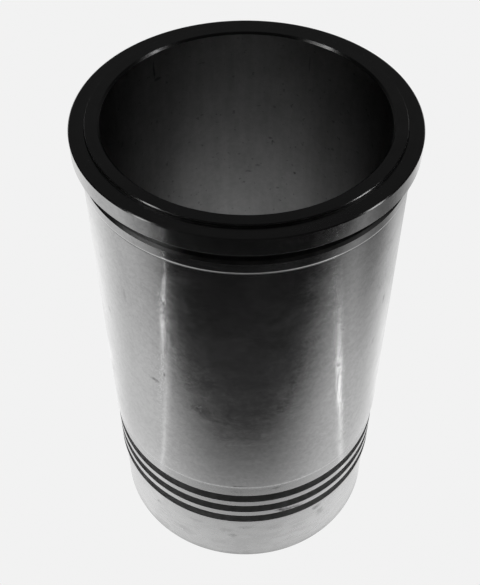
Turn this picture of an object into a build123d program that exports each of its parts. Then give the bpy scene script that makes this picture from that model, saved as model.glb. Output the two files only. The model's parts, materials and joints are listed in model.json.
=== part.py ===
from build123d import *
import os

# Wet cylinder liner of a heavy diesel engine, turned and honed from one centrifugally cast iron tube.
# A fire ring and a flange at the top clamp it between block and head. Below the flange come an open groove
# for the filler band, the upper locating collar, the coolant-washed body, the seal land with three open
# grooves for seal rings, and the plain lower pilot. Every surface is concentric with the bore.
# Units are millimetres. The bore axis is Z, and the lower end stands on z = 0.

# Bore
bore_diameter = 120.65
bore_top_chamfer = 0.95
bore_bottom_chamfer = 1.0

# Radial sizes: the body's wall, then how far each zone stands out from or below its neighbour
body_wall = 9.475
collar_step = 0.6
flange_overhang = 3.35
fire_ring_width = 6.175
band_groove_depth = 3.4
land_step = 0.6
seal_groove_depth = 3.8
pilot_step = 1.2

# Heights of the zones, from the lower end up
pilot_length = 34.2
pilot_taper_length = 1.7
seal_lip_length = 2.0
seal_groove_width = 5.6
seal_groove_gap = 4.1
seal_groove_count = 3
seal_land_length = 7.5
body_taper_length = 1.2
body_length = 152.1
collar_lead_in_length = 1.4
collar_length = 4.9
band_groove_width = 6.25
flange_thickness = 8.35
fire_ring_height = 1.4

# Broken and rounded corners
pilot_edge_chamfer = 0.5
seal_groove_edge_break = 0.2
seal_groove_root_chamfer = 0.4
band_groove_root_round = 0.6
collar_edge_chamfer = 1.0
flange_edge_chamfer = 0.4
fire_ring_edge_chamfer = 0.3

# Radii of the zones
bore_radius = bore_diameter / 2
body_radius = bore_radius + body_wall
collar_radius = body_radius + collar_step
flange_radius = body_radius + flange_overhang
fire_ring_radius = bore_radius + fire_ring_width
band_groove_radius = collar_radius - band_groove_depth
land_radius = body_radius - land_step
seal_groove_radius = land_radius - seal_groove_depth
pilot_radius = land_radius - pilot_step

# Levels where one zone ends and the next begins
lip_bottom = pilot_length + pilot_taper_length
grooves_bottom = lip_bottom + seal_lip_length
seal_groove_pitch = seal_groove_width + seal_groove_gap
grooves_top = grooves_bottom + seal_groove_count * seal_groove_pitch - seal_groove_gap
land_top = grooves_top + seal_land_length
body_bottom = land_top + body_taper_length
body_top = body_bottom + body_length
collar_bottom = body_top + collar_lead_in_length
collar_top = collar_bottom + collar_length
flange_seat = collar_top + band_groove_width
flange_top = flange_seat + flange_thickness
liner_top = flange_top + fire_ring_height


def pilot_outline():
    """Plain lower pilot, from the lower end's chamfer to the taper that meets the seal land."""
    return [
        (pilot_radius - pilot_edge_chamfer, 0),
        (pilot_radius, pilot_edge_chamfer),
        (pilot_radius, pilot_length),
        (land_radius, lip_bottom),
    ]


def seal_groove_roots():
    """Inner corners of every seal groove, as (lower, upper) pairs from the lowest groove up."""
    bottoms = [grooves_bottom + index * seal_groove_pitch for index in range(seal_groove_count)]
    return [
        ((seal_groove_radius, bottom), (seal_groove_radius, bottom + seal_groove_width))
        for bottom in bottoms
    ]


def seal_land_outline():
    """Seal land: square-sided grooves with broken edges, then the taper up to the body."""
    points = []
    for lower_root, upper_root in seal_groove_roots():
        bottom, top = lower_root[1], upper_root[1]
        points += [
            (land_radius, bottom - seal_groove_edge_break),
            (land_radius - seal_groove_edge_break, bottom),
            lower_root,
            upper_root,
            (land_radius - seal_groove_edge_break, top),
            (land_radius, top + seal_groove_edge_break),
        ]
    return points + [(land_radius, land_top)]


def collar_outline():
    """Body's ends, the lead-in taper below the locating collar, and the collar itself."""
    return [
        (body_radius, body_bottom),
        (body_radius, body_top),
        (collar_radius, collar_bottom),
        (collar_radius, collar_top - collar_edge_chamfer),
        (collar_radius - collar_edge_chamfer, collar_top),
    ]


def band_groove_roots():
    """Inner corners of the filler band's groove, which reaches up to the flange seat."""
    return [(band_groove_radius, collar_top), (band_groove_radius, flange_seat)]


def flange_outline():
    """Flange from its seat up, with the raised fire ring on its inner half."""
    return [
        (flange_radius - flange_edge_chamfer, flange_seat),
        (flange_radius, flange_seat + flange_edge_chamfer),
        (flange_radius, flange_top - flange_edge_chamfer),
        (flange_radius - flange_edge_chamfer, flange_top),
        (fire_ring_radius, flange_top),
        (fire_ring_radius, liner_top - fire_ring_edge_chamfer),
        (fire_ring_radius - fire_ring_edge_chamfer, liner_top),
    ]


def bore_outline():
    """Honed bore from the top chamfer down to the lower one."""
    return [
        (bore_radius + bore_top_chamfer, liner_top),
        (bore_radius, liner_top - bore_top_chamfer),
        (bore_radius, bore_bottom_chamfer),
        (bore_radius + bore_bottom_chamfer, 0),
    ]


def vertices_at(section, corners):
    """The section's vertices that lie at the given (radius, height) corners."""
    return [section.vertices().sort_by_distance((*corner, 0))[0] for corner in corners]


def wall_section():
    """Half section of the wall, drawn in XY with the bore axis along Y."""
    outline = (
        pilot_outline()
        + seal_land_outline()
        + collar_outline()
        + band_groove_roots()
        + flange_outline()
        + bore_outline()
    )
    section = make_face(Polyline(*outline, close=True))
    seal_roots = [corner for pair in seal_groove_roots() for corner in pair]
    section = chamfer(vertices_at(section, seal_roots), seal_groove_root_chamfer)
    return fillet(vertices_at(section, band_groove_roots()), band_groove_root_round)


def cylinder_liner():
    """The whole liner: its half section stood upright and turned once about the bore axis."""
    return revolve(Plane.XZ * wall_section(), Axis.Z)


os.makedirs("parts", exist_ok=True)
export_step(cylinder_liner(), "parts/cylinder_liner.step")
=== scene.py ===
import json
import math

import bpy
from mathutils import Euler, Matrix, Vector


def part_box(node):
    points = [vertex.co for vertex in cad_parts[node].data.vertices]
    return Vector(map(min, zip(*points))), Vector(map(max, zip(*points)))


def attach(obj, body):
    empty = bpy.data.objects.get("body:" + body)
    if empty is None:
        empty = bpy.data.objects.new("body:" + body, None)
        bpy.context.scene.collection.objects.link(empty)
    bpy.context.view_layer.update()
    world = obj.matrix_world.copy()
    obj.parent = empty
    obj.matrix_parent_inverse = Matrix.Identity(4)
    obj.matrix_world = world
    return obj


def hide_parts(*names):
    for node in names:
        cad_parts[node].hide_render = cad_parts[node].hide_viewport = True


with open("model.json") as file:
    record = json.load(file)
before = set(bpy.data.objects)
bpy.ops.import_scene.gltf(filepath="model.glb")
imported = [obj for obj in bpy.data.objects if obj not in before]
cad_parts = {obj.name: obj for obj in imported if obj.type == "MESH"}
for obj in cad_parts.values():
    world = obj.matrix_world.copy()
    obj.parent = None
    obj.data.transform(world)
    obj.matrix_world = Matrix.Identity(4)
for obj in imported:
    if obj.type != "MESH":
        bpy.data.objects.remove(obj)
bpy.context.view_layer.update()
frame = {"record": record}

# A wet cylinder liner standing on a pale table. The machined iron is nearly a mirror, so its looks come
# from three things: an exact lathe mesh, turned and honed finishes, and what the studio lets it mirror.
# The camera sees a pale cove, plain but for painted shade and a painted pool of lamplight under the bore, and
# the iron mirrors a darker room that is hidden from the camera.
# Lengths are metres. The bore axis is Z and the camera looks from -Y. A bearing is an angle about the
# axis, in degrees: 0 at the front (-Y), +90 on the right (+X), 180 at the back.

MM = 0.001

# ---------------------------------------------------------------- sizes, from the frame and the mounts
MOUNTS = {mount["name"]: mount for mount in frame["record"]["mounts"]}


def mount_radius(name):
    return MOUNTS[name]["dims"]["r_mm"] * MM


def mount_span(name):
    """Lower and upper end of a round mount's wall."""
    middle = MOUNTS[name]["pos_m"][2]
    half = MOUNTS[name]["dims"]["length_mm"] * MM / 2
    return middle - half, middle + half


_, BOX_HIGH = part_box("cylinder_liner")
FLANGE_RADIUS, _, LINER_TOP = BOX_HIGH
BORE_RADIUS = mount_radius("cylinder_bore")
COLLAR_RADIUS = mount_radius("upper_collar")
LAND_RADIUS = mount_radius("lower_register")
COLLAR_BOTTOM, COLLAR_EDGE = mount_span("upper_collar")
FLANGE_SEAT = MOUNTS["flange_seat"]["pos_m"][2]

# Steps between the zones, depths of the grooves and lengths of the zones
COLLAR_STEP = 0.6 * MM
PILOT_STEP = 1.2 * MM
SEAL_GROOVE_DEPTH = 3.8 * MM
BAND_GROOVE_DEPTH = 3.4 * MM
FIRE_RING_WIDTH = 6.175 * MM
FIRE_RING_HEIGHT = 1.4 * MM
PILOT_TOP = 34.2 * MM
PILOT_TAPER = 1.7 * MM
SEAL_LIP = 2.0 * MM
GROOVE_WIDTH = 5.6 * MM
GROOVE_PITCH = 9.7 * MM
GROOVE_COUNT = 3
LAND_ABOVE_GROOVES = 7.5 * MM
BODY_TAPER = 1.2 * MM
LEAD_IN_LENGTH = 1.4 * MM

# Chamfers
PILOT_CHAMFER = 0.5 * MM
GROOVE_EDGE = 0.2 * MM
COLLAR_CHAMFER = 1.0 * MM
FLANGE_CHAMFER = 0.4 * MM
RING_CHAMFER = 0.3 * MM
BORE_TOP_CHAMFER = 0.95 * MM
BORE_BOTTOM_CHAMFER = 1.0 * MM

# Radii and levels that follow from them
BODY_RADIUS = COLLAR_RADIUS - COLLAR_STEP
PILOT_RADIUS = LAND_RADIUS - PILOT_STEP
SEAL_GROOVE_RADIUS = LAND_RADIUS - SEAL_GROOVE_DEPTH
BAND_GROOVE_RADIUS = COLLAR_RADIUS - BAND_GROOVE_DEPTH
FIRE_RING_RADIUS = BORE_RADIUS + FIRE_RING_WIDTH
LIP_BOTTOM = PILOT_TOP + PILOT_TAPER
FIRST_GROOVE = LIP_BOTTOM + SEAL_LIP
LAND_TOP = FIRST_GROOVE + (GROOVE_COUNT - 1) * GROOVE_PITCH + GROOVE_WIDTH + LAND_ABOVE_GROOVES
BODY_BOTTOM = LAND_TOP + BODY_TAPER
BODY_TOP = COLLAR_BOTTOM - LEAD_IN_LENGTH
COLLAR_TOP = COLLAR_EDGE + COLLAR_CHAMFER
FLANGE_TOP = LINER_TOP - FIRE_RING_HEIGHT

EDGE = 0.08 * MM          # the hair of rounding on every turned corner
ROOT = 0.6 * MM           # rounding at the roots of the grooves and at the ends of the tapers
RING_ROOT = 0.35 * MM     # rounding where the fire ring rises from the flange
LEAD_IN_ROUND = 2.5 * MM  # soft shoulders of the slopes at both ends of the body
LEAD_IN_DROP = 0.5 * MM   # the ground slope under the collar reaches this much lower than its nominal edge
ARC_SHARE = 0.45          # the most that one corner's arc takes of the straight beside it
ARC_STEPS = 4             # steps round each corner
TURNS = 288               # steps round the lathe mesh

# ---------------------------------------------------------------- lathe mesh
FINISHES = ("faced", "ground", "register", "groove", "honed")


def groove_corners(bottom):
    """One seal groove with broken edges, from its lower edge up."""
    top = bottom + GROOVE_WIDTH
    return [
        (LAND_RADIUS, bottom - GROOVE_EDGE, EDGE, "register"),
        (LAND_RADIUS - GROOVE_EDGE, bottom, EDGE, "groove"),
        (SEAL_GROOVE_RADIUS, bottom, ROOT, "groove"),
        (SEAL_GROOVE_RADIUS, top, ROOT, "groove"),
        (LAND_RADIUS - GROOVE_EDGE, top, EDGE, "register"),
        (LAND_RADIUS, top + GROOVE_EDGE, EDGE, "register"),
    ]


def outline_corners():
    """Corners of the wall's half section: radius, height, rounding, and the finish that follows."""
    corners = [
        (BORE_RADIUS + BORE_BOTTOM_CHAMFER, 0, EDGE, "faced"),
        (PILOT_RADIUS - PILOT_CHAMFER, 0, EDGE, "register"),
        (PILOT_RADIUS, PILOT_CHAMFER, EDGE, "register"),
        (PILOT_RADIUS, PILOT_TOP, ROOT, "register"),
        (LAND_RADIUS, LIP_BOTTOM, EDGE, "register"),
    ]
    for index in range(GROOVE_COUNT):
        corners += groove_corners(FIRST_GROOVE + index * GROOVE_PITCH)
    corners += [
        (LAND_RADIUS, LAND_TOP, LEAD_IN_ROUND, "register"),
        (BODY_RADIUS, BODY_BOTTOM, LEAD_IN_ROUND, "ground"),
        (BODY_RADIUS, BODY_TOP - LEAD_IN_DROP, ROOT, "groove"),
        (COLLAR_RADIUS, COLLAR_BOTTOM - LEAD_IN_DROP, LEAD_IN_ROUND, "ground"),
        (COLLAR_RADIUS, COLLAR_EDGE, EDGE, "groove"),
        (COLLAR_RADIUS - COLLAR_CHAMFER, COLLAR_TOP, EDGE, "groove"),
        (BAND_GROOVE_RADIUS, COLLAR_TOP, ROOT, "groove"),
        (BAND_GROOVE_RADIUS, FLANGE_SEAT, ROOT, "groove"),
        (FLANGE_RADIUS - FLANGE_CHAMFER, FLANGE_SEAT, EDGE, "ground"),
        (FLANGE_RADIUS, FLANGE_SEAT + FLANGE_CHAMFER, EDGE, "ground"),
        (FLANGE_RADIUS, FLANGE_TOP - FLANGE_CHAMFER, EDGE, "faced"),
        (FLANGE_RADIUS - FLANGE_CHAMFER, FLANGE_TOP, EDGE, "faced"),
        (FIRE_RING_RADIUS, FLANGE_TOP, RING_ROOT, "groove"),
        (FIRE_RING_RADIUS, LINER_TOP - RING_CHAMFER, EDGE, "faced"),
        (FIRE_RING_RADIUS - RING_CHAMFER, LINER_TOP, EDGE, "faced"),
        (BORE_RADIUS + BORE_TOP_CHAMFER, LINER_TOP, EDGE, "faced"),
        (BORE_RADIUS, LINER_TOP - BORE_TOP_CHAMFER, EDGE, "honed"),
        (BORE_RADIUS, BORE_BOTTOM_CHAMFER, EDGE, "faced"),
    ]
    return corners


def rounded_corner(before, corner, after, rounding):
    """Points and outward normals of the arc that rounds one corner of the half section."""
    arriving = (corner - before).normalized()
    leaving = (after - corner).normalized()
    turn = arriving.angle_signed(leaving)
    reach = rounding * math.tan(abs(turn) / 2)
    reach = min(reach, ARC_SHARE * (corner - before).length, ARC_SHARE * (after - corner).length)
    radius = reach / math.tan(abs(turn) / 2)
    first_normal = Vector((arriving.y, -arriving.x))
    hollow = 1 if turn > 0 else -1
    start = corner - arriving * reach
    centre = start + first_normal * radius * hollow
    samples = []
    for step in range(ARC_STEPS + 1):
        angle = -turn * step / ARC_STEPS
        turned = Vector((
            first_normal.x * math.cos(angle) - first_normal.y * math.sin(angle),
            first_normal.x * math.sin(angle) + first_normal.y * math.cos(angle),
        ))
        samples.append((centre - turned * radius * hollow, turned))
    return samples


def section_samples():
    """Points, normals and finishes all the way round the half section."""
    corners = outline_corners()
    places = [Vector((radius, height)) for radius, height, _, _ in corners]
    samples = []
    for index, (_, _, rounding, finish) in enumerate(corners):
        after = places[(index + 1) % len(places)]
        arc = rounded_corner(places[index - 1], places[index], after, rounding)
        samples += [(point, normal, finish) for point, normal in arc]
    return samples


def lathe_mesh(name, samples):
    """Closed mesh of revolution, with the section's exact normals and a material for each finish."""
    rings = len(samples)
    verts, normals, faces, slots = [], [], [], []
    for turn in range(TURNS):
        angle = 2 * math.pi * turn / TURNS
        east, north = math.cos(angle), math.sin(angle)
        for point, normal, _ in samples:
            verts.append((point.x * east, point.x * north, point.y))
            normals.append((normal.x * east, normal.x * north, normal.y))
    for turn in range(TURNS):
        here, there = turn * rings, (turn + 1) % TURNS * rings
        for ring, (_, _, finish) in enumerate(samples):
            above = (ring + 1) % rings
            faces.append((here + ring, there + ring, there + above, here + above))
            slots.append(FINISHES.index(finish))
    mesh = bpy.data.meshes.new(name)
    mesh.from_pydata(verts, [], faces)
    mesh.polygons.foreach_set("material_index", slots)
    mesh.shade_smooth()
    mesh.normals_split_custom_set_from_vertices(normals)
    return mesh


# ---------------------------------------------------------------- marks of handling
# Each row: bearing in degrees, then height, width and tallness in millimetres, then strength.

# Stains, nicks and wiped spots, which are darker where the strength is below 0
BODY_MARKS = (
    (-9.2, 196.0, 1.5, 1.3, -0.45),
    (-35.2, 141.3, 4.0, 1.8, -0.30),
    (-30.7, 148.9, 1.2, 2.5, -0.45),
    (-2.0, 72.6, 8.0, 0.8, -0.40),
    (-47.0, 187.5, 2.0, 9.0, -0.14),
    (-61.1, 163.0, 2.0, 4.0, -0.25),
    (61.2, 171.1, 2.2, 6.0, -0.30),
    (56.6, 147.3, 2.0, 3.0, -0.20),
    (36.2, 151.9, 1.5, 2.5, -0.35),
    (-25.9, 176.2, 2.5, 8.0, -0.16),
    (-15.0, 130.5, 7.0, 9.0, -0.20),
    (16.4, 141.0, 4.0, 9.0, -0.16),
)
# Patches of fine curled strokes
BODY_SCUFFS = (
    (-17.4, 133.0, 9.0, 7.0, 1.0),
    (-10.5, 126.0, 9.0, 3.0, 0.6),
    (-20.5, 150.0, 4.0, 14.0, 0.6),
    (-15.5, 142.0, 5.0, 8.0, 0.5),
    (-23.5, 168.0, 4.0, 14.0, 0.4),
    (14.0, 136.0, 7.0, 9.0, 0.7),
    (17.5, 150.0, 4.0, 14.0, 0.8),
    (22.5, 179.0, 10.0, 7.0, 0.5),
    (-36.0, 141.5, 5.0, 3.0, 0.7),
)
# Patches of fine chatter, which fray what the wall mirrors there
BODY_WEAR = (
    (-28.8, 200.0, 3.5, 22.0, 0.5),
    (-29.6, 182.0, 3.5, 36.0, 1.0),
    (-30.6, 166.0, 3.0, 8.0, 0.7),
    (33.9, 188.0, 3.5, 12.0, 0.6),
    (35.5, 166.0, 3.5, 34.0, 1.0),
    (38.0, 138.0, 3.5, 34.0, 1.0),
    (40.0, 112.0, 3.5, 22.0, 0.9),
    (41.6, 84.0, 2.5, 6.0, 1.0),
    (-18.3, 134.0, 7.0, 10.0, 0.8),
    (-13.0, 127.0, 9.0, 8.0, 0.8),
    (-2.0, 111.0, 16.0, 6.0, 0.7),
    (9.0, 122.0, 10.0, 12.0, 0.7),
    (16.6, 140.0, 5.0, 16.0, 0.8),
    (20.9, 160.0, 4.0, 20.0, 0.7),
    (-24.0, 165.0, 4.0, 30.0, 0.6),
)
# Wiped patches and rubs on the seal land and the pilot
REGISTER_MARKS = (
    (14.6, 46.2, 5.0, 1.6, -0.50),
    (18.0, 45.2, 8.0, 3.0, -0.60),
    (22.6, 44.6, 7.0, 2.2, -0.45),
    (19.0, 47.8, 7.0, 0.8, 0.20),
    (34.2, 31.5, 5.0, 4.0, -0.35),
    (36.4, 26.0, 4.0, 3.0, -0.25),
    (12.8, 67.8, 6.0, 1.6, -0.30),
    (-3.0, 66.5, 10.0, 1.2, -0.16),
    (5.0, 69.0, 12.0, 0.9, 0.12),
    (-4.9, 21.0, 5.0, 3.0, -0.20),
    (-8.0, 25.7, 7.0, 3.6, -0.12),
    (0.5, 29.8, 9.0, 2.6, -0.12),
    (-43.0, 25.1, 2.6, 2.0, -0.35),
    (-22.4, 28.1, 8.0, 3.0, -0.12),
    (37.2, 23.2, 6.0, 3.4, -0.18),
    (24.8, 21.5, 10.0, 3.0, -0.14),
    (14.0, 27.0, 9.0, 4.0, -0.08),
    (-30.0, 14.0, 12.0, 4.0, -0.10),
)
# Painted light: a bright patch on the left of the filler band's groove, standing in for lamplight that falls
# there
GROOVE_PAINTED_LIGHT = (
    (-34.0, 231.0, 28.0, 12.0, 2.4),
)
# Drips, smears and specks of oil near the top of the bore
BORE_MARKS = (
    (-136.5, 237.0, 1.0, 9.0, -0.55),
    (-138.3, 231.6, 4.0, 1.6, -0.45),
    (151.6, 234.0, 0.9, 8.0, -0.35),
    (168.5, 187.1, 2.2, 1.4, -0.40),
    (167.5, 184.4, 1.0, 3.0, -0.35),
    (155.9, 168.0, 1.6, 1.4, -0.55),
    (174.5, 169.0, 2.4, 1.2, -0.30),
    (178.8, 164.8, 3.4, 1.0, -0.30),
    (-176.5, 176.0, 1.4, 1.0, -0.30),
    (167.0, 206.1, 1.6, 1.2, -0.30),
)


# ---------------------------------------------------------------- materials
QUARTER_TURN = 0.25       # turns a highlight from round the axis to along it
MOST = (0.3, 0.7)         # where most of a noise's values lie
NOISE_MIDDLE = 0.5
MARK_FADE = (1.4, 0.5)    # shares of its half size between which a mark grows to its full strength


class Shader:
    """One material's node tree. Each method adds nodes and returns the last one's output."""

    def __init__(self, name):
        self.material = bpy.data.materials.new(name)
        self.material.use_nodes = True
        self.tree = self.material.node_tree
        self.bsdf = self.tree.nodes["Principled BSDF"]
        self.bsdf.inputs["Metallic"].default_value = 1.0
        self.point = self.add("ShaderNodeTexCoord").outputs["Object"]
        self.x, self.y, self.z = self.add("ShaderNodeSeparateXYZ", self.point).outputs

    def join(self, value, socket):
        if isinstance(value, bpy.types.NodeSocket):
            self.tree.links.new(value, socket)
        else:
            socket.default_value = value

    def add(self, kind, *values):
        """A node whose first inputs take the given values or links."""
        node = self.tree.nodes.new(kind)
        for value, socket in zip(values, node.inputs):
            self.join(value, socket)
        return node

    def math(self, operation, *values):
        node = self.add("ShaderNodeMath", *values)
        node.operation = operation
        return node.outputs[0]

    def vector(self, operation, *values):
        node = self.add("ShaderNodeVectorMath", *values)
        node.operation = operation
        return node.outputs["Value" if operation == "LENGTH" else "Vector"]

    def noise(self, vector, scale, detail=2.0, roughness=0.5, distortion=0.0, output="Fac"):
        node = self.add("ShaderNodeTexNoise")
        self.join(vector, node.inputs["Vector"])
        node.inputs["Scale"].default_value = scale
        node.inputs["Detail"].default_value = detail
        node.inputs["Roughness"].default_value = roughness
        node.inputs["Distortion"].default_value = distortion
        return node.outputs[output]

    def scaled(self, point, across, along):
        """A point whose texture is finer by these factors across the bore axis and along it."""
        return self.vector("MULTIPLY", point, (across, across, along))

    def rings(self, across, along):
        """Streaks that run round the axis, as a tool leaves them."""
        return self.noise(self.scaled(self.point, across, along), scale=1.0)

    def fold(self, scale, distortion):
        """Near 0 along thin curled lines."""
        field = self.noise(self.point, scale, detail=3.0, roughness=0.6, distortion=distortion)
        return self.math("ABSOLUTE", self.math("SUBTRACT", field, NOISE_MIDDLE))

    def spread(self, value, low, high, to_low=0.0, to_high=1.0):
        """Smooth step of a value from one range to another."""
        node = self.add("ShaderNodeMapRange", value, low, high, to_low, to_high)
        node.interpolation_type = "SMOOTHSTEP"
        return node.outputs[0]

    def total(self, *values):
        result = values[0]
        for value in values[1:]:
            result = self.math("ADD", result, value)
        return result

    def bump(self, height, distance, below=None):
        node = self.add("ShaderNodeBump")
        node.inputs["Strength"].default_value = 1.0
        node.inputs["Distance"].default_value = distance
        self.join(height, node.inputs["Height"])
        if below is not None:
            self.join(below, node.inputs["Normal"])
        return node.outputs[0]

    def helix(self, lead):
        """The surface point turned about the axis as it rises, so that a streak there runs in a helix."""
        node = self.add("ShaderNodeVectorRotate", self.point)
        node.rotation_type = "Z_AXIS"
        self.join(self.math("MULTIPLY", self.z, lead), node.inputs["Angle"])
        return node.outputs[0]

    def marks(self, marks, radius, tear):
        """Sum of soft spots on a round wall, each with its own strength, torn by up to half of tear."""
        ragged = self.noise(self.point, scale=650.0, detail=4.0, roughness=0.65, output="Color")
        ragged = self.vector("SUBTRACT", ragged, (NOISE_MIDDLE, NOISE_MIDDLE, NOISE_MIDDLE))
        ragged = self.vector("MULTIPLY", ragged, (tear, tear, tear))
        place = self.vector("ADD", self.point, ragged)
        result = 0.0
        for bearing, height, width, tall, strength in marks:
            turn = math.radians(bearing)
            middle = (radius * math.sin(turn), -radius * math.cos(turn), height * MM)
            offset = self.vector("SUBTRACT", place, middle)
            shape = (2 / (width * MM), 2 / (width * MM), 2 / (tall * MM))
            reach = self.vector("LENGTH", self.vector("MULTIPLY", offset, shape))
            result = self.math("ADD", result, self.spread(reach, *MARK_FADE, 0.0, strength))
        return result

    def finish(self, level, tone, roughness, normal, anisotropy):
        """Set the metal: grey level times tone, roughness, normal, and highlights drawn along the axis."""
        grey = self.math("MULTIPLY", tone, level)
        colour = self.add("ShaderNodeCombineColor", grey, grey, grey)
        self.join(colour.outputs[0], self.bsdf.inputs["Base Color"])
        self.join(roughness, self.bsdf.inputs["Roughness"])
        self.join(normal, self.bsdf.inputs["Normal"])
        self.bsdf.inputs["Anisotropic"].default_value = anisotropy
        self.bsdf.inputs["Anisotropic Rotation"].default_value = QUARTER_TURN
        tangent = self.add("ShaderNodeTangent")
        tangent.direction_type = "RADIAL"
        tangent.axis = "Z"
        self.join(tangent.outputs[0], self.bsdf.inputs["Tangent"])
        return self.material


def ground_iron():
    """Ground outer wall: fine rings from the wheel, a slight sway, faint stains, scuffs, wear and marks."""
    s = Shader("ground_iron")
    cloud = s.noise(s.point, scale=45.0, detail=4.0, roughness=0.55, distortion=0.8)
    mottle = s.noise(s.point, scale=420.0, detail=4.0, roughness=0.75, distortion=0.6)
    sway = s.noise(s.point, scale=85.0, detail=1.0)
    calm = s.spread(s.noise(s.point, scale=70.0), 0.42, 0.6, 0.3, 1.5)
    ripple = s.math("MULTIPLY", s.noise(s.point, scale=330.0, detail=3.0, roughness=0.6), calm)
    chatter = s.noise(s.point, scale=620.0, detail=3.0, roughness=0.7, distortion=0.6)
    chatter = s.math("MULTIPLY", chatter, s.marks(BODY_WEAR, BODY_RADIUS, 5.0 * MM))

    scuffed = s.marks(BODY_SCUFFS, BODY_RADIUS, 6.0 * MM)
    patches = s.spread(s.noise(s.point, scale=42.0), 0.5, 0.62, 0.0, 0.45)
    wisps = s.spread(s.fold(scale=190.0, distortion=2.4), 0.04, 0.0)
    wisps = s.math("MULTIPLY", wisps, s.math("MAXIMUM", patches, scuffed))
    strokes = s.spread(s.fold(scale=260.0, distortion=1.8), 0.07, 0.02)
    strokes = s.math("MULTIPLY", strokes, scuffed)
    marks = s.total(s.marks(BODY_MARKS, BODY_RADIUS, 3.0 * MM), s.math("MULTIPLY", strokes, -0.42))

    tone = s.total(s.spread(cloud, *MOST, 0.96, 1.04), s.spread(mottle, *MOST, -0.09, 0.09), marks)
    rough = s.total(s.spread(cloud, 0.35, 0.65, 0.12, 0.16), s.spread(mottle, 0.45, 0.75, 0.0, 0.03))
    rough = s.total(rough, s.math("MULTIPLY", wisps, 0.12), s.math("MULTIPLY", marks, -0.05))
    normal = s.bump(ripple, 0.012 * MM, s.bump(sway, 0.09 * MM))
    normal = s.bump(s.rings(12.0, 1400.0), 0.002 * MM, s.bump(chatter, 0.05 * MM, normal))
    return s.finish(0.56, tone, rough, normal, anisotropy=0.95)


def register_iron():
    """Seal land and pilot: turned a little coarser, with pale wiped patches and scuffs."""
    s = Shader("register_iron")
    wiped = s.noise(s.scaled(s.point, 1.0, 2.2), scale=75.0, detail=5.0, roughness=0.65, distortion=1.2)
    fine = s.noise(s.scaled(s.point, 1.0, 2.0), scale=300.0, detail=3.0, roughness=0.6, distortion=1.0)
    marks = s.marks(REGISTER_MARKS, PILOT_RADIUS, 6.0 * MM)
    tone = s.total(s.spread(wiped, 0.35, 0.65, 0.88, 1.08), s.spread(fine, *MOST, -0.02, 0.02), marks)
    rough = s.total(s.spread(wiped, *MOST, 0.22, 0.30), s.spread(fine, 0.4, 0.7, 0.0, 0.03))
    rough = s.math("SUBTRACT", rough, s.math("MULTIPLY", marks, 0.05))
    normal = s.bump(s.rings(14.0, 1100.0), 0.0015 * MM, s.bump(wiped, 0.04 * MM))
    return s.finish(0.60, tone, rough, normal, anisotropy=0.7)


def faced_iron():
    """Faced ends and fire ring: fine rings about the axis from the facing tool."""
    s = Shader("faced_iron")
    reach = s.vector("LENGTH", s.scaled(s.point, 1.0, 0.0))
    across = s.math("MULTIPLY", reach, 1300.0)
    track = s.add("ShaderNodeCombineXYZ", across, s.math("MULTIPLY", s.x, 8.0), s.math("MULTIPLY", s.y, 8.0))
    rings = s.noise(track.outputs[0], scale=1.0)
    cloud = s.noise(s.point, scale=70.0, detail=4.0, roughness=0.6, distortion=0.8)
    tone = s.total(s.spread(cloud, *MOST, 0.94, 1.05), s.spread(rings, *MOST, -0.03, 0.03))
    rough = s.total(s.spread(cloud, *MOST, 0.18, 0.24), s.spread(rings, 0.4, 0.7, 0.0, 0.03))
    normal = s.bump(rings, 0.002 * MM, s.bump(cloud, 0.04 * MM))
    return s.finish(0.57, tone, rough, normal, anisotropy=0.6)


def groove_iron():
    """Grooves: plunge-turned and left rough, duller than the walls, with painted shade toward the flange and
    a painted patch of light on the band groove.
    """
    s = Shader("groove_iron")
    # Painted shade: the tone falls from 1.3 times below 190 mm to half above 232 mm, darkest in the band
    # groove under the flange's overhang
    painted_shade_toward_flange = s.spread(s.z, 0.19, 0.232, 1.3, 0.5)
    cloud = s.noise(s.point, scale=160.0, detail=4.0, roughness=0.6)
    rings = s.rings(16.0, 1800.0)
    tone = s.total(s.spread(cloud, *MOST, 0.85, 1.12), s.spread(rings, *MOST, -0.08, 0.08))
    # Painted light: the patch on the band groove's left brightens the tone where lamplight falls
    tone = s.total(tone, s.marks(GROOVE_PAINTED_LIGHT, COLLAR_RADIUS, 4.0 * MM))
    tone = s.math("MULTIPLY", tone, painted_shade_toward_flange)
    rough = s.spread(cloud, *MOST, 0.40, 0.52)
    normal = s.bump(rings, 0.006 * MM, s.bump(cloud, 0.05 * MM))
    return s.finish(0.42, tone, rough, normal, anisotropy=0.3)


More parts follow.
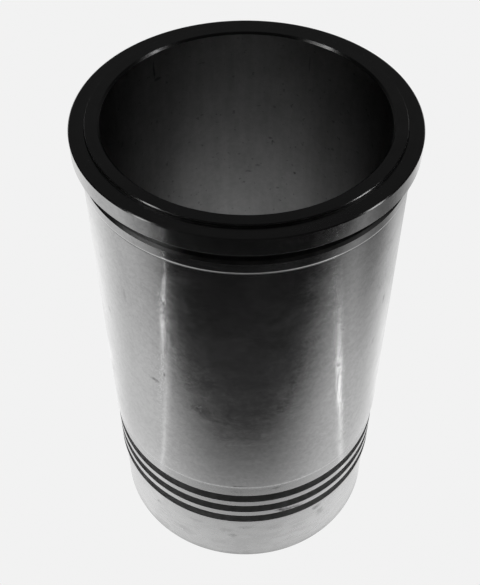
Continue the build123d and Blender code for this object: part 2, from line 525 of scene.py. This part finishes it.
def honed_iron():
    """Honed bore: two crossing sets of fine scratches, with drips of oil and small dark specks."""
    s = Shader("honed_iron")
    lead = 26.0            # turn in radians for each metre of rise: scratches about 30 degrees off level
    rise = s.noise(s.scaled(s.helix(lead), 1.0, 0.02), scale=900.0, detail=2.0, roughness=0.6)
    fall = s.noise(s.scaled(s.helix(-lead), 1.0, 0.02), scale=900.0, detail=2.0, roughness=0.6)
    hatch = s.total(s.spread(rise, 0.55, 0.75), s.spread(fall, 0.55, 0.75))
    cloud = s.noise(s.point, scale=60.0, detail=4.0, roughness=0.55, distortion=0.6)
    runs = s.noise(s.scaled(s.point, 1.0, 0.12), scale=220.0, detail=3.0, roughness=0.6)
    mottle = s.noise(s.point, scale=330.0, detail=4.0, roughness=0.7)
    specks = s.noise(s.point, scale=420.0, detail=1.0)
    marks = s.marks(BORE_MARKS, BORE_RADIUS, 1.5 * MM)
    tone = s.total(s.spread(cloud, *MOST, 0.95, 1.04), s.math("MULTIPLY", hatch, -0.04), marks)
    tone = s.total(tone, s.spread(runs, *MOST, -0.05, 0.05), s.spread(mottle, *MOST, -0.06, 0.06))
    tone = s.total(tone, s.spread(specks, 0.68, 0.76, 0.0, -0.3))
    rough = s.total(s.spread(cloud, *MOST, 0.28, 0.32), s.math("MULTIPLY", hatch, 0.03))
    normal = s.bump(hatch, -0.003 * MM)
    return s.finish(0.45, tone, rough, normal, anisotropy=0.3)


MATERIALS = {
    "faced": faced_iron,
    "ground": ground_iron,
    "register": register_iron,
    "groove": groove_iron,
    "honed": honed_iron,
}

liner = bpy.data.objects.new("liner_shell", lathe_mesh("liner_shell", section_samples()))
bpy.context.collection.objects.link(liner)
for finish in FINISHES:
    liner.data.materials.append(MATERIALS[finish]())
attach(liner, "root")
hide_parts("cylinder_liner")

# ---------------------------------------------------------------- studio
PAPER = 0.887             # radiance of the pale table and cove, as the camera sees them
COVE_FLAT = 1.6           # reach of the flat, radius of the bend and height of the wall
COVE_BEND = 0.5
COVE_HEIGHT = 2.4
COVE_BEND_STEPS = 12
COVE_TURNS = 96
TABLE_LEVEL = -0.2 * MM
TABLE_TURNS = 720
UNDER_BORE = 64           # reach in millimetres of the shaded part of the table, below the wall's foot

ROOM_FRONT = 0.004        # radiance of the dark room behind the camera and overhead
ROOM_BACK = 0.019         # and of the room beyond the object
ROOM_FADE = (0.35, 0.95)  # +Y parts of the directions between which the one turns into the other
FLOOR_NEAR = 0.013        # radiance of the floor in front of the table, and further out
FLOOR_FAR = 0.004
FLOOR_EDGE = 0.02         # more along the table's edge
FLOOR_DISTANT = 0.32      # the lit floor well beyond them, which only a low view mirrors
FLOOR_FAR_START = (275, 315)       # reaches in millimetres over which these follow each other
FLOOR_EDGE_END = (185, 265)
FLOOR_DISTANT_START = (650, 1300)
BORE_SHADE = 0.014        # radiance of the table under the bore
BORE_GLOW = 1.45          # more where lamplight falls through the bore, in front and to the right of the axis
BORE_GLOW_AHEAD = 17
BORE_GLOW_ASIDE = 6
BORE_GLOW_SPREAD = 23
BORE_RIM = 0.45           # radiance of the table close to the wall on the left, at these reaches and bearings
BORE_RIM_REACH = (40, 54)
BORE_RIM_START = (20, 60)
BORE_RIM_END = (115, 150)

# What the outer wall mirrors of the table, whose values change smoothly over the pairs of reaches or
# bearings that are given with them. A reach is a distance from the bore axis in millimetres: the
# pilot mirrors reaches from 80, the body from 105 to 270 and the flange about 317. Each point of the wall
# mirrors a bearing about twice its own.
REFERENCE_REACH = 110     # where the values below hold, before they change further out
CONTACT = (84, 122)       # reaches where the table still glows from light thrown back by the wall
CONTACT_PALE = 0.25       # by this share on its pale sides, and by this radiance in front
CONTACT_FRONT = 0.30
LEFT_PALE = (0.79, 0.0019, 0.56)   # radiance, its loss for each millimetre further out, and its least
RIGHT_PALE = (0.77, 0.0029, 0.27)
SETTLING = (110, 170)     # reaches past the seal land over which each side takes on its full radiance
LEFT_SETTLED = 0.14       # share that the left gains there
RIGHT_UNSETTLED = 0.93    # share that the right starts with, and what it gains there
RIGHT_SETTLED = 0.18
RIGHT_DIP = 0.08          # share that the right loses again, over these bearings
RIGHT_DIP_SIDE = (72, 88)
LIMB_PALE = 1.03          # radiance beside and behind the object, reached over these bearings
LEFT_LIMB_SIDE = (84, 130)
RIGHT_LIMB_SIDE = (86, 126)
RIGHT_LIMB_DELAY = 8      # degrees that the right one starts later, past these reaches
RIGHT_DELAY = (200, 280)
LEFT_RISE = 0.13          # share that the left limb gains, and what the seal land's gains besides
LEFT_RISE_LOW = 0.12
LEFT_RISE_SIDE = (80, 122)
LEFT_RISE_LOW_END = (115, 150)
LEFT_RISE_END = (235, 265)
LEFT_FLANGE = (285, 312)  # reaches that the flange mirrors: lighter before the limb, darker at it
LEFT_FLANGE_CHANGE = 0.15
LEFT_FLANGE_LIGHT_END = (80, 92)
LEFT_FLANGE_DARK_START = (88, 100)
RIGHT_RISE = 0.0033       # share that the right limb gains for each millimetre short of this reach
RIGHT_RISE_REACH = 170
RIGHT_RISE_SIDE = (72, 90)
RIGHT_FLANGE = (288, 312)
RIGHT_FLANGE_SIDE = (118, 145)
SHADE_BEARING = 38        # bearing at which the dark front ends on either side
SHADE_OPENING = 0.146     # its widening, in degrees for each millimetre further out
SHADE_BLUR = (37, 0.087, 8)        # half width of that soft end, its loss outward, and its least
LEFT_SHIFT = 2.2          # degrees that the left end lies further round, past the seal land
LEFT_SHARPENING = 0.2     # share that its width loses there
RIGHT_SHIFT = 2           # degrees that the right end lies nearer the front, and what it adds far out
RIGHT_SHIFT_FAR = 2
RIGHT_SHIFT_FAR_START = (240, 290)
RIGHT_BULGE = 1.2         # degrees that it gives back between these reaches
RIGHT_BULGE_START = (150, 180)
RIGHT_BULGE_END = (200, 230)
RIGHT_WIDTH = 0.75        # its width as a share of the left one's
SCREEN = (0.79, 0.002)    # share that a pale screen on the left lifts the soft end by, and its loss outward
SCREEN_SIDE = (48.5, 54)  # bearings between which that screen's side lies
SCREEN_SHIFT = 3.5        # degrees that this side lies further round, past these reaches
SCREEN_SHIFT_START = (240, 272)
SCREEN_BLUR = 9           # degrees that it softens by, past these
SCREEN_BLUR_START = (275, 312)
FRONT_TABLE = 0.036       # radiance of the table in front, then more up to its mat, and close to the object
FRONT_MAT = 0.125
FRONT_CLOSE = 0.235
TABLE_END = (190, 240)    # reaches over which the table, its mat's edge and the close glow end
MAT_END = (-7, 6)
CLOSE_END = (90, 155)
MAT_REACH = 144           # reach of the mat straight ahead, how much further its corners reach, and where
MAT_CORNER = 23
MAT_ASIDE = 26
STREAK_END = 8            # millimetres over which a streak of glare fades at either end

STREAKS = (               # bearing, spread, strength, first and last reach: lamps' glare on the table
    (-55, 0.6, 8.0, 220, 240),
    (-54.5, 0.8, 0.35, 100, 186),
    (66, 0.6, 4.0, 144, 200),
    (66, 1.2, 0.5, 96, 236),
    (64, 0.8, 0.6, 110, 116),
)
LAMPS = (                 # bearing, elevation, width and height in degrees, radiance
    (-66, 32.5, 9, 9, 1.3),
    (-76.5, 48, 6, 8, 0.95),
    (-68, 50.4, 9, 6, 0.45),
    (81, 27, 10, 9, 1.4),
    (85.5, 44.3, 6, 6, 1.1),
)
LAMP_DISTANCE = 1.3       # metres from the middle of the object's top


def emission(name, radiance=None, attribute=None):
    """Glowing material, with one radiance or with a radiance carried by the mesh's vertices."""
    material = bpy.data.materials.new(name)
    material.use_nodes = True
    tree = material.node_tree
    tree.nodes.clear()
    glow = tree.nodes.new("ShaderNodeEmission")
    out = tree.nodes.new("ShaderNodeOutputMaterial")
    tree.links.new(glow.outputs[0], out.inputs[0])
    if attribute:
        source = tree.nodes.new("ShaderNodeAttribute")
        source.attribute_name = attribute
        tree.links.new(source.outputs["Fac"], glow.inputs["Strength"])
    else:
        glow.inputs["Strength"].default_value = radiance
    return material


def stage_mesh(name, verts, faces, material, seen_by_camera, glow=None):
    """A stage piece that only the camera sees, or only the object's reflections see."""
    mesh = bpy.data.meshes.new(name)
    mesh.from_pydata(verts, [], faces)
    mesh.materials.append(material)
    if glow:
        layer = mesh.attributes.new("glow", "FLOAT", "POINT")
        layer.data.foreach_set("value", glow)
    obj = bpy.data.objects.new(name, mesh)
    bpy.context.collection.objects.link(obj)
    obj.visible_camera = seen_by_camera
    obj.visible_glossy = not seen_by_camera
    obj.visible_diffuse = not seen_by_camera
    obj.visible_shadow = False


def bearings(around):
    """Evenly spaced bearings, from -180 up."""
    return [360 * turn / around - 180 for turn in range(around)]


def round_grid(outline, around):
    """Vertices and faces of a sheet of revolution about the axis, in the order of its bearings."""
    rings = len(outline)
    verts, faces = [], []
    for turn, bearing in enumerate(bearings(around)):
        east, north = math.sin(math.radians(bearing)), math.cos(math.radians(bearing))
        verts += [(reach * east, -reach * north, height) for reach, height in outline]
        here, there = turn * rings, (turn + 1) % around * rings
        faces += [(here + k, here + k + 1, there + k + 1, there + k) for k in range(rings - 1)]
    return verts, faces


def blend(value, low, high):
    """Smooth step from 0 at low to 1 at high."""
    t = min(max((value - low) / (high - low), 0.0), 1.0)
    return t * t * (3 - 2 * t)


def fade(value, low, high):
    """Smooth step from 1 at low to 0 at high."""
    return 1 - blend(value, low, high)


def bore_radiance(reach, bearing):
    """The table under the bore: shaded, with a pool of lamplight that falls through from above."""
    ahead = math.cos(math.radians(bearing)) * reach - BORE_GLOW_AHEAD
    aside = math.sin(math.radians(bearing)) * reach - BORE_GLOW_ASIDE
    pool = math.exp(-(ahead ** 2 + aside ** 2) / BORE_GLOW_SPREAD ** 2)
    rim = blend(reach, *BORE_RIM_REACH) * blend(-bearing, *BORE_RIM_START) * fade(-bearing, *BORE_RIM_END)
    return BORE_SHADE + BORE_GLOW * pool + BORE_RIM * rim


def falling(start, loss, least, reach):
    """A value that falls by the same loss for each millimetre further out, down to its least."""
    return max(start - loss * (reach - REFERENCE_REACH), least)


def pale_left(reach, around):
    """Radiance of the pale table on the left, at a bearing counted from the front."""
    pale = falling(*LEFT_PALE, reach) * (1 + CONTACT_PALE * fade(reach, *CONTACT))
    pale *= 1 + LEFT_SETTLED * blend(reach, *SETTLING)
    pale += (LIMB_PALE - pale) * blend(around, *LEFT_LIMB_SIDE)
    rise = LEFT_RISE + LEFT_RISE_LOW * fade(reach, *LEFT_RISE_LOW_END)
    pale *= 1 + rise * fade(reach, *LEFT_RISE_END) * blend(around, *LEFT_RISE_SIDE)
    change = fade(around, *LEFT_FLANGE_LIGHT_END) - blend(around, *LEFT_FLANGE_DARK_START)
    return pale * (1 + LEFT_FLANGE_CHANGE * change * blend(reach, *LEFT_FLANGE))


def pale_right(reach, around):
    """Radiance of the pale table on the right, which falls off faster than the left."""
    pale = falling(*RIGHT_PALE, reach) * (1 + CONTACT_PALE * fade(reach, *CONTACT))
    settled = RIGHT_UNSETTLED + RIGHT_SETTLED * blend(reach, *SETTLING)
    pale *= settled - RIGHT_DIP * blend(around, *RIGHT_DIP_SIDE)
    start, end = RIGHT_LIMB_SIDE
    pale += (LIMB_PALE - pale) * blend(around, start + RIGHT_LIMB_DELAY * blend(reach, *RIGHT_DELAY), end)
    rise = RIGHT_RISE * (RIGHT_RISE_REACH - reach) * blend(around, *RIGHT_RISE_SIDE)
    flange = blend(around, *RIGHT_FLANGE_SIDE) * blend(reach, *RIGHT_FLANGE)
    return pale * (1 + rise * (1 - flange))


def share_left(reach, around):
    """How far the dark front has given way to the pale table on the left, where a screen stands too."""
    further = blend(reach, *SETTLING)
    middle = SHADE_BEARING + SHADE_OPENING * (reach - REFERENCE_REACH) + LEFT_SHIFT * further
    width = falling(*SHADE_BLUR, reach) * (1 - LEFT_SHARPENING * further)
    share = blend(around, middle - width, middle + width)
    screen = min(falling(*SCREEN, 0, reach), 1)
    start, end = SCREEN_SIDE
    shift = SCREEN_SHIFT * blend(reach, *SCREEN_SHIFT_START)
    blur = SCREEN_BLUR * blend(reach, *SCREEN_BLUR_START)
    return share + (1 - share) * screen * blend(around, start + shift - blur, end + shift + blur)


def share_right(reach, around):
    """How far the dark front has given way to the pale table on the right."""
    middle = SHADE_BEARING + SHADE_OPENING * (reach - REFERENCE_REACH)
    middle -= RIGHT_SHIFT + RIGHT_SHIFT_FAR * blend(reach, *RIGHT_SHIFT_FAR_START)
    middle += RIGHT_BULGE * blend(reach, *RIGHT_BULGE_START) * fade(reach, *RIGHT_BULGE_END)
    width = falling(*SHADE_BLUR, reach) * RIGHT_WIDTH
    return blend(around, middle - width, middle + width)


def front_radiance(reach, bearing):
    """The dim table in front of the object: darker past its mat, and darker still past its edge."""
    mat = MAT_REACH + MAT_CORNER * min(abs(bearing) / MAT_ASIDE, 1) ** 2
    start, end = MAT_END
    dim = FRONT_TABLE * fade(reach, *TABLE_END) + FRONT_MAT * fade(reach, mat + start, mat + end)
    return dim + FRONT_CLOSE * fade(reach, *CLOSE_END) + CONTACT_FRONT * fade(reach, *CONTACT)


def glare(reach, bearing):
    """Thin streaks of lamplight on the table."""
    total = 0
    for place, spread, strength, start, end in STREAKS:
        across = math.exp(-((bearing - place) / spread) ** 2)
        begun = blend(reach, start - STREAK_END, start + STREAK_END)
        total += strength * across * begun * fade(reach, end - STREAK_END, end + STREAK_END)
    return total


def floor_radiance(reach):
    """The floor past the table, which is the least that any reach shows."""
    dark = FLOOR_NEAR + (FLOOR_FAR - FLOOR_NEAR) * blend(reach, *FLOOR_FAR_START)
    dark += FLOOR_EDGE * fade(reach, *FLOOR_EDGE_END)
    return dark + FLOOR_DISTANT * blend(reach, *FLOOR_DISTANT_START)


def table_radiance(reach, bearing):
    """What the iron mirrors of the table: pale at the sides, dark in front past the table's edge."""
    if reach <= UNDER_BORE:
        return bore_radiance(reach, bearing)
    around = abs(bearing)
    if bearing < 0:
        pale, share = pale_left(reach, around), share_left(reach, around)
    else:
        pale, share = pale_right(reach, around), share_right(reach, around)
    seen = front_radiance(reach, bearing) * (1 - share) + pale * share + glare(reach, bearing)
    return max(floor_radiance(reach), seen)


def cove():
    """Round pale table whose rim sweeps up into a wall on every side, with painted shade and a painted pool
    of lamplight under the bore.
    """
    reaches = [*range(0, UNDER_BORE, 8), UNDER_BORE, UNDER_BORE + 1]
    outline = [(reach * MM, TABLE_LEVEL) for reach in reaches] + [(COVE_FLAT, TABLE_LEVEL)]
    for step in range(1, COVE_BEND_STEPS + 1):
        angle = math.pi / 2 * step / COVE_BEND_STEPS
        height = TABLE_LEVEL + COVE_BEND * (1 - math.cos(angle))
        outline.append((COVE_FLAT + COVE_BEND * math.sin(angle), height))
    outline.append((COVE_FLAT + COVE_BEND, COVE_HEIGHT))
    verts, faces = round_grid(outline, COVE_TURNS)
    glow = []
    for bearing in bearings(COVE_TURNS):
        for reach, _ in outline:
            # Painted shade and a painted pool of lamplight on the floor that the camera sees under the bore
            inside = reach < (UNDER_BORE + 0.5) * MM
            glow.append(min(bore_radiance(reach / MM, bearing), PAPER) if inside else PAPER)
    stage_mesh("cove", verts, faces, emission("paper", attribute="glow"), True, glow)


def table():
    """The table as reflections see it: a round grid whose vertices carry the radiance."""
    reaches = [0, 8, 16, 24, 32]
    reaches += range(40, 460, 6)
    reaches += [500, 600, 700, 800, 900, 1000, 1200, 1400, 3000]
    verts, faces = round_grid([(reach * MM, TABLE_LEVEL) for reach in reaches], TABLE_TURNS)
    glow = [table_radiance(reach, bearing) for bearing in bearings(TABLE_TURNS) for reach in reaches]
    stage_mesh("table_reflection", verts, faces, emission("table_glow", attribute="glow"), False, glow)


def room():
    """Dark room: nearly black behind the camera and overhead, a little lighter beyond the object."""
    world = bpy.data.worlds.new("room")
    bpy.context.scene.world = world
    world.use_nodes = True
    tree = world.node_tree
    place = tree.nodes.new("ShaderNodeTexCoord")
    split = tree.nodes.new("ShaderNodeSeparateXYZ")
    spread = tree.nodes.new("ShaderNodeMapRange")
    spread.interpolation_type = "SMOOTHSTEP"
    tree.links.new(place.outputs["Generated"], split.inputs[0])
    tree.links.new(split.outputs["Y"], spread.inputs["Value"])
    limits = (*ROOM_FADE, ROOM_FRONT, ROOM_BACK)
    for number, socket in zip(limits, tuple(spread.inputs)[1:5]):
        socket.default_value = number
    background = tree.nodes["Background"]
    background.inputs["Color"].default_value = (1, 1, 1, 1)
    tree.links.new(spread.outputs[0], background.inputs["Strength"])


def lamps():
    """Soft lamps at both sides: panels that face the object's top and that only its edges mirror."""
    aim = Vector((0, 0, LINER_TOP))
    for index, (bearing, elevation, width, height, radiance) in enumerate(LAMPS):
        turn, lift = math.radians(bearing), math.radians(elevation)
        toward = Vector((math.sin(turn) * math.cos(lift), -math.cos(turn) * math.cos(lift), math.sin(lift)))
        across = toward.cross(Vector((0, 0, 1))).normalized()
        upward = across.cross(toward)
        half_width = LAMP_DISTANCE * math.tan(math.radians(width / 2))
        half_height = LAMP_DISTANCE * math.tan(math.radians(height / 2))
        middle = aim + toward * LAMP_DISTANCE
        corners = [
            middle + across * half_width * i + upward * half_height * j
            for i, j in ((-1, -1), (1, -1), (1, 1), (-1, 1))
        ]
        stage_mesh(f"lamp_{index}", corners, [(0, 1, 2, 3)], emission(f"lamp_glow_{index}", radiance), False)


cove()
table()
room()
lamps()

# ---------------------------------------------------------------- camera
CAMERA_PLACE = (0.0, -326.4 * MM, 489.8 * MM)
CAMERA_TURN = (42.858, 0.049, 0.420)      # degrees: tilt up from straight down, roll and heading
SENSOR_HEIGHT = 36.0
LENS = 60.05

camera_data = bpy.data.cameras.new("camera")
camera_data.sensor_fit = "VERTICAL"
camera_data.sensor_height = SENSOR_HEIGHT
camera_data.lens = LENS
camera_data.clip_start = 0.01
camera_data.clip_end = 20.0
camera = bpy.data.objects.new("camera", camera_data)
camera.location = CAMERA_PLACE
camera.rotation_euler = Euler([math.radians(angle) for angle in CAMERA_TURN])
bpy.context.collection.objects.link(camera)
bpy.context.scene.camera = camera
bpy.context.scene.view_settings.view_transform = "Standard"
